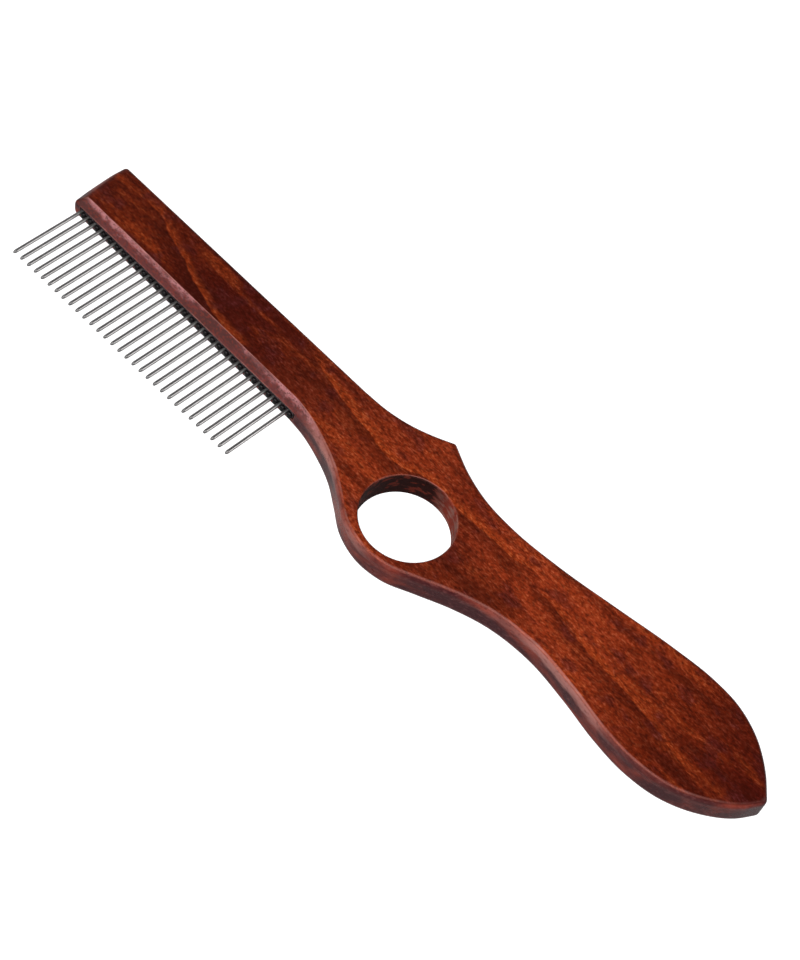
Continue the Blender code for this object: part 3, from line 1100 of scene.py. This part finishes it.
def shown(tree, value, start, full, most):
    """How much of a colour shows: none at start, the most at full."""
    return maths(tree, "MULTIPLY", rising(tree, value, start, full), most)


def within(tree, value, rise, fall):
    """1 between a smooth step up and a smooth step down, and 0 outside them."""
    return maths(tree, "MULTIPLY", rising(tree, value, *rise), rising(tree, value, *fall))


def layered(tree, groups, place, colour, layers):
    """A colour with layers of noise over it, each with its tones."""
    for lengths, detail, contrast, tones in layers:
        noise = streaks(tree, groups, place, lengths, detail, contrast)
        for start, full, most, tone, mode in tones:
            colour = mixed(tree, shown(tree, noise, start, full, most), colour, tone, mode)
    return colour


def stain_tone(tree, x):
    """The stain along the comb: dark on the head, redder round the finger hole, dark again at the tip."""
    stops = [(length_share(length), colour) for length, colour in STAIN_ALONG]
    return colour_ramp(tree, along_comb(tree, x), stops)


def growth_line(tree, place, x, y, z, groups):
    """Heights above the growth lines' sharp edges, and how strongly a line shows at each length."""
    height = along_curve(tree, x, LINE_HEIGHTS, LINE_LOWEST, LINE_HIGHEST)
    strength = along_curve(tree, x, LINE_STRENGTHS)
    waver = streaks(tree, groups, place, *LINE_WAVER)
    above = maths(tree, "SUBTRACT", y, height)
    above = maths(tree, "MULTIPLY_ADD", z, LINE_LEAN, above)
    above = maths(tree, "MULTIPLY_ADD", waver, LINE_SWAY, maths(tree, "SUBTRACT", above, LINE_SWAY / 2))
    return above, strength


def figured_colour(tree, place, x, y, z, groups):
    """The stained wood's colour on its faces: growth lines, streaks, mottling and short flecks, and a darker
    stretch where the grip starts."""
    colour = stain_tone(tree, x)
    above, strength = growth_line(tree, place, x, y, z, groups)
    light = within(tree, above, *LINE_LIGHT)
    dark = within(tree, above, *LINE_DARK)
    colour = layered(tree, groups, place, colour, FACE_STREAKS)
    for band, tone in ((light, STAIN_LIGHT), (dark, STAIN_DARK)):
        share = maths(tree, "MULTIPLY", band, maths(tree, "MULTIPLY", strength, LINE_MOST))
        colour = mixed(tree, share, colour, tone)
    stretch = within(tree, x, *GRIP_STRETCH_LENGTH)
    stretch = maths(tree, "MULTIPLY", stretch, shown(tree, y, *GRIP_STRETCH_WIDTH))
    colour = mixed(tree, stretch, colour, STAIN_DARK)
    return layered(tree, groups, place, colour, FACE_MOTTLING)


def side_colour(tree, place, x, z, facing_y, groups):
    """The sides: dark purple with brown patches and short fibres, paler towards the under face, and the upper
    part of the front side is pale in lengths. The dark purple is painted shade and the brown patches a
    painted uneven reflection; the paler under face is painted light from below, and the pale upper part a
    painted sheen."""
    # Dark purple, painted shade, with brown patches, a painted uneven reflection
    patches = streaks(tree, groups, place, *SIDE_PATCHES)
    colour = mixed(tree, rising(tree, patches, *SIDE_BROWN_FROM), SIDE_DARK, SIDE_BROWN)
    # Painted sheen: the upper part of the front side pale in lengths, a painted reflection of the front light
    upper = along_curve(tree, x, UPPER_SIDE_PAINTED_SHEEN)
    upper = maths(tree, "MULTIPLY", upper, rising(tree, facing_y, *SIDE_FACING))
    breaks = streaks(tree, groups, place, *SIDE_BREAKS)
    high = maths(tree, "MULTIPLY_ADD", breaks, SIDE_BREAK, maths(tree, "SUBTRACT", z, SIDE_BREAK / 2))
    high = maths(tree, "MULTIPLY", upper, rising(tree, high, *SIDE_UPPER_PART))
    colour = mixed(tree, high, colour, SIDE_PAINTED_SHEEN)
    # Painted light from below on the under part of the sides
    colour = mixed(tree, shown(tree, z, *SIDE_UNDER_PAINTED_LIGHT), colour, SIDE_PALE)
    return layered(tree, groups, place, colour, SIDE_FIBRES)


def bevel_colour(tree, place, x, z, groups):
    """The toothed edge's bevel: pinkish, partly a painted sheen of the front light, palest at its top with a
    painted highlight, and darker in lengths, with patches and flecks where the stain has taken unevenly."""
    mottle = streaks(tree, groups, place, *BEVEL_MOTTLE)
    # Painted highlight: paler towards the bevel's top arris
    top = rising(tree, z, *BEVEL_TOP_HIGHLIGHT)
    share = maths(tree, "MULTIPLY", mottle, BEVEL_MOTTLE_SHARE)
    share = maths(tree, "MULTIPLY_ADD", top, BEVEL_TOP_HIGHLIGHT_SHARE, share)
    pale = along_curve(tree, x, PALE_BEVEL)
    share = maths(tree, "SUBTRACT", share, BEVEL_DARKENING)
    share = maths(tree, "MULTIPLY_ADD", pale, BEVEL_DARKENING, share)
    colour = mixed(tree, rising(tree, share, *BEVEL_PINK_FROM), BEVEL_RED, BEVEL_PINK)
    moved = put(tree, "ShaderNodeVectorMath", {0: place, 1: BEVEL_PATCHES_MOVE}).outputs["Vector"]
    colour = layered(tree, groups, moved, colour, BEVEL_PATCHES)
    return layered(tree, groups, place, colour, BEVEL_FLECKS)


def arris_highlight_share(tree, place, x, facing_y, facing_z, groups):
    """A painted highlight: a thin pale line on the front side's top arris, broken into lengths."""
    line = within(tree, facing_z, *ARRIS_TILT)
    line = maths(tree, "MULTIPLY", line, rising(tree, facing_y, *ARRIS_FACING))
    pale = along_curve(tree, x, UPPER_SIDE_PAINTED_SHEEN)
    pale = maths(tree, "MAXIMUM", pale, rising(tree, x, *ARRIS_ON_HEAD))
    line = maths(tree, "MULTIPLY", line, maths(tree, "MULTIPLY_ADD", pale, *ARRIS_PALE_SHARE))
    lengths = streaks(tree, groups, place, *ARRIS_LENGTHS)
    return maths(tree, "MULTIPLY", line, maths(tree, "MULTIPLY_ADD", lengths, *ARRIS_BROKEN_SHARE))


def hole_share(tree, x, y):
    """1 on the finger hole's wall."""
    across = maths(tree, "SUBTRACT", x, HOLE_CENTRE[0])
    along = maths(tree, "SUBTRACT", y, HOLE_CENTRE[1])
    squares = maths(tree, "ADD", maths(tree, "POWER", across, 2.0), maths(tree, "POWER", along, 2.0))
    return rising(tree, maths(tree, "SQRT", squares), *HOLE_WALL)


def hole_colour(tree, place, x, y, groups):
    """The finger hole's wall: painted shade, nearly black brown, towards the head, and painted light, paler,
    towards the grip.
    """
    mottle = streaks(tree, groups, place, *HOLE_MOTTLE)
    dark = mixed(tree, shown(tree, mottle, *HOLE_BROWN_FROM), HOLE_PAINTED_SHADE, SIDE_BROWN)
    pale = mixed(tree, rising(tree, mottle, *HOLE_PAINTED_LIGHT_FROM), SIDE_BROWN, HOLE_PAINTED_LIGHT)
    # Painted light on the wall towards the grip, painted shade towards the head
    towards_grip = maths(tree, "ADD", x, y)
    return mixed(tree, rising(tree, towards_grip, *HOLE_GRIP_SIDE), dark, pale)


def varnish_roughness(tree, groups, place, wear_and_sheen, in_hole):
    """The varnish: smeared, a little duller on its worn arrises, and matt in the finger hole."""
    smears = streaks(tree, groups, place, *SMEARS)
    roughness = maths(tree, "MULTIPLY_ADD", smears, VARNISH_SMEARED, VARNISH_LEAST)
    roughness = maths(tree, "MULTIPLY_ADD", wear_and_sheen, VARNISH_RUBBED, roughness)
    return maths(tree, "MULTIPLY_ADD", in_hole, VARNISH_IN_HOLE, roughness)


def grain_relief(tree, groups, place):
    """A soft swell under the varnish, with the fine open pores of the wood."""
    pores = rising(tree, streaks(tree, groups, place, *PORES), *PORES_FROM)
    swell = streaks(tree, groups, place, *SWELL)
    return relief(tree, maths(tree, "MULTIPLY_ADD", pores, PORE_SHARE, swell), *WOOD_RELIEF)


def stained_wood(groups):
    made, tree, shader = material("stained_wood")
    place = millimetres(tree)
    x, y, z = put(tree, "ShaderNodeSeparateXYZ", {0: place}).outputs
    normal = put(tree, "ShaderNodeTexCoord").outputs["Normal"]
    _, facing_y, facing_z = put(tree, "ShaderNodeSeparateXYZ", {0: normal}).outputs
    upright = rising(tree, maths(tree, "ABSOLUTE", facing_z), *UPRIGHT)
    colour = figured_colour(tree, place, x, y, z, groups)
    side = side_colour(tree, place, x, z, facing_y, groups)
    in_hole = hole_share(tree, x, y)
    side = mixed(tree, in_hole, side, hole_colour(tree, place, x, y, groups))
    colour = mixed(tree, upright, colour, side)
    bevel = maths(tree, "MULTIPLY", rising(tree, facing_y, *BEVEL_FACING), rising(tree, x, *BEVEL_END))
    bevel = maths(tree, "MULTIPLY", bevel, rising(tree, z, *BEVEL_HEIGHT))
    colour = mixed(tree, bevel, colour, bevel_colour(tree, place, x, z, groups))
    # Pale arrises: partly wear, partly a painted highlight
    wear_and_sheen = edge_wear_and_glints(tree, groups, place, *WOOD_EDGE_WEAR_AND_SHEEN)
    colour = mixed(tree, maths(tree, "MULTIPLY", wear_and_sheen, WOOD_EDGE_WEAR_AND_SHEEN_SHARE), colour, WORN_AND_SHEEN_WOOD)
    # A painted highlight along the front side's top arris
    colour = mixed(tree, arris_highlight_share(tree, place, x, facing_y, facing_z, groups), colour, WORN_AND_SHEEN_WOOD)
    hole_wall = maths(tree, "MULTIPLY", in_hole, upright)
    fill(tree, shader, {
        "Base Color": colour,
        "Roughness": varnish_roughness(tree, groups, place, wear_and_sheen, hole_wall),
        "Normal": grain_relief(tree, groups, place),
        "Specular IOR Level": 0.22,
        "Specular Tint": (1.0, 0.4, 0.35, 1.0),
        "Coat Weight": 0.05,
        "Coat Roughness": 0.2,
    })
    return made


def black_plastic(groups):
    made, tree, shader = material("black_plastic")
    place = millimetres(tree)
    # Painted glints on the edges of the lugs
    wear_and_sheen = edge_wear_and_glints(tree, groups, place, *PLASTIC_GLINT_EDGES)
    mottle = streaks(tree, groups, place, *PLASTIC_MOTTLE)
    colour = mixed(tree, mottle, PLASTIC_BLACK, PLASTIC_GREY)
    colour = mixed(tree, wear_and_sheen, colour, PLASTIC_PAINTED_GLINT)
    grain = streaks(tree, groups, place, *PLASTIC_GRAIN)
    fill(tree, shader, {
        "Base Color": colour,
        "Roughness": maths(tree, "MULTIPLY_ADD", grain, *PLASTIC_ROUGHNESS),
        "Normal": relief(tree, grain, *PLASTIC_RELIEF),
        "Specular IOR Level": 0.2,
    })
    return made


def tooth_steel(groups):
    made, tree, shader = material("tooth_steel")
    place = millimetres(tree)
    x, y, _ = put(tree, "ShaderNodeSeparateXYZ", {0: place}).outputs
    drawn = streaks(tree, groups, place, *DRAWN_LINES)
    dulled = streaks(tree, groups, place, *DULLED_PATCHES)
    colour = mixed(tree, drawn, STEEL_DARK, STEEL_BRIGHT)
    colour = mixed(tree, shown(tree, dulled, *STEEL_DULLED_FROM), colour, STEEL_DULL)
    tips = maths(tree, "MULTIPLY_ADD", x, TIP_LINE_SLOPE, TIP_LINE_START)
    from_tip = maths(tree, "SUBTRACT", y, tips)
    colour = mixed(tree, shown(tree, from_tip, *TIP_DARKENED), colour, STEEL_TIP)
    blunt = shown(tree, from_tip, *TIP_BLUNTED)
    roughness = maths(tree, "MULTIPLY_ADD", drawn, *STEEL_ROUGHNESS)
    fill(tree, shader, {
        "Base Color": colour,
        "Metallic": 1.0,
        "Roughness": maths(tree, "ADD", roughness, blunt),
        "Normal": relief(tree, drawn, *STEEL_RELIEF),
    })
    return made


def pale_floor():
    """White to the camera, as a sweep lit from behind, and a plain grey for the light that it throws back."""
    made, tree, shader = material("pale_floor")
    ray = put(tree, "ShaderNodeLightPath").outputs
    clouds = put(tree, "ShaderNodeTexNoise", {"Vector": millimetres(tree), "Scale": 0.01}).outputs["Fac"]
    glow = maths(tree, "MULTIPLY_ADD", ray["Is Glossy Ray"], FLOOR_MIRRORED, ray["Is Camera Ray"])
    fill(tree, shader, {
        "Base Color": mixed(tree, clouds, FLOOR_DARK, FLOOR_LIGHT),
        "Emission Color": WHITE,
        "Emission Strength": glow,
        "Roughness": 0.9,
        "Specular IOR Level": 0.0,
    })
    return made


# Setting


def make_camera():
    back = Vector((
        math.sin(CAMERA_AZIMUTH) * math.cos(CAMERA_ELEVATION),
        -math.cos(CAMERA_AZIMUTH) * math.cos(CAMERA_ELEVATION),
        math.sin(CAMERA_ELEVATION),
    ))
    data = bpy.data.cameras.new("camera")
    data.lens = CAMERA_LENS
    data.sensor_width = CAMERA_SENSOR
    data.clip_start = CAMERA_CLIP
    camera = bpy.data.objects.new("camera", data)
    camera.location = CAMERA_PLACE
    camera.rotation_mode = "QUATERNION"
    camera.rotation_quaternion = (-back).to_track_quat("-Z", "Y") @ Quaternion((0, 0, 1), CAMERA_ROLL)
    bpy.context.scene.collection.objects.link(camera)
    bpy.context.scene.camera = camera


def soft_box(name, place, size, power):
    """A rectangular area light that faces the comb's middle."""
    data = bpy.data.lights.new(name, "AREA")
    data.shape = "RECTANGLE"
    data.size, data.size_y = size
    data.energy = power
    light = bpy.data.objects.new(name, data)
    light.location = place
    light.rotation_mode = "QUATERNION"
    light.rotation_quaternion = (-Vector(place)).to_track_quat("-Z", "Y")
    bpy.context.scene.collection.objects.link(light)


def make_floor():
    nothing_selected()
    bpy.ops.mesh.primitive_plane_add(size=FLOOR_SIZE, location=(0, 0, PLATE_LOW.z))
    floor = added("floor")
    floor.data.materials.append(pale_floor())


def make_light():
    world = bpy.data.worlds.new("world")
    world.use_nodes = True
    background = world.node_tree.nodes["Background"]
    background.inputs["Color"].default_value = WHITE
    background.inputs["Strength"].default_value = WORLD_STRENGTH
    bpy.context.scene.world = world
    bpy.context.scene.view_settings.view_transform = "Standard"
    for name, place, size, power in SOFT_BOXES:
        soft_box(name, place, size, power)


def main():
    make_camera()
    make_light()
    make_floor()
    groups = {"streaks": streaks_group()}
    groups["edge_wear_and_glints"] = edge_wear_and_glints_group(groups)
    plate = make_plate()
    wear(plate, stained_wood(groups))
    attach(plate, "comb_body")
    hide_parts("handle")
    strip = make_strip()
    wear(strip, black_plastic(groups))
    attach(strip, "comb_body")
    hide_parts("tooth_strip")
    steel = tooth_steel(groups)
    for node, tooth in zip(TEETH, make_teeth()):
        wear(tooth, steel)
        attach(tooth, node)
        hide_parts(node)


main()
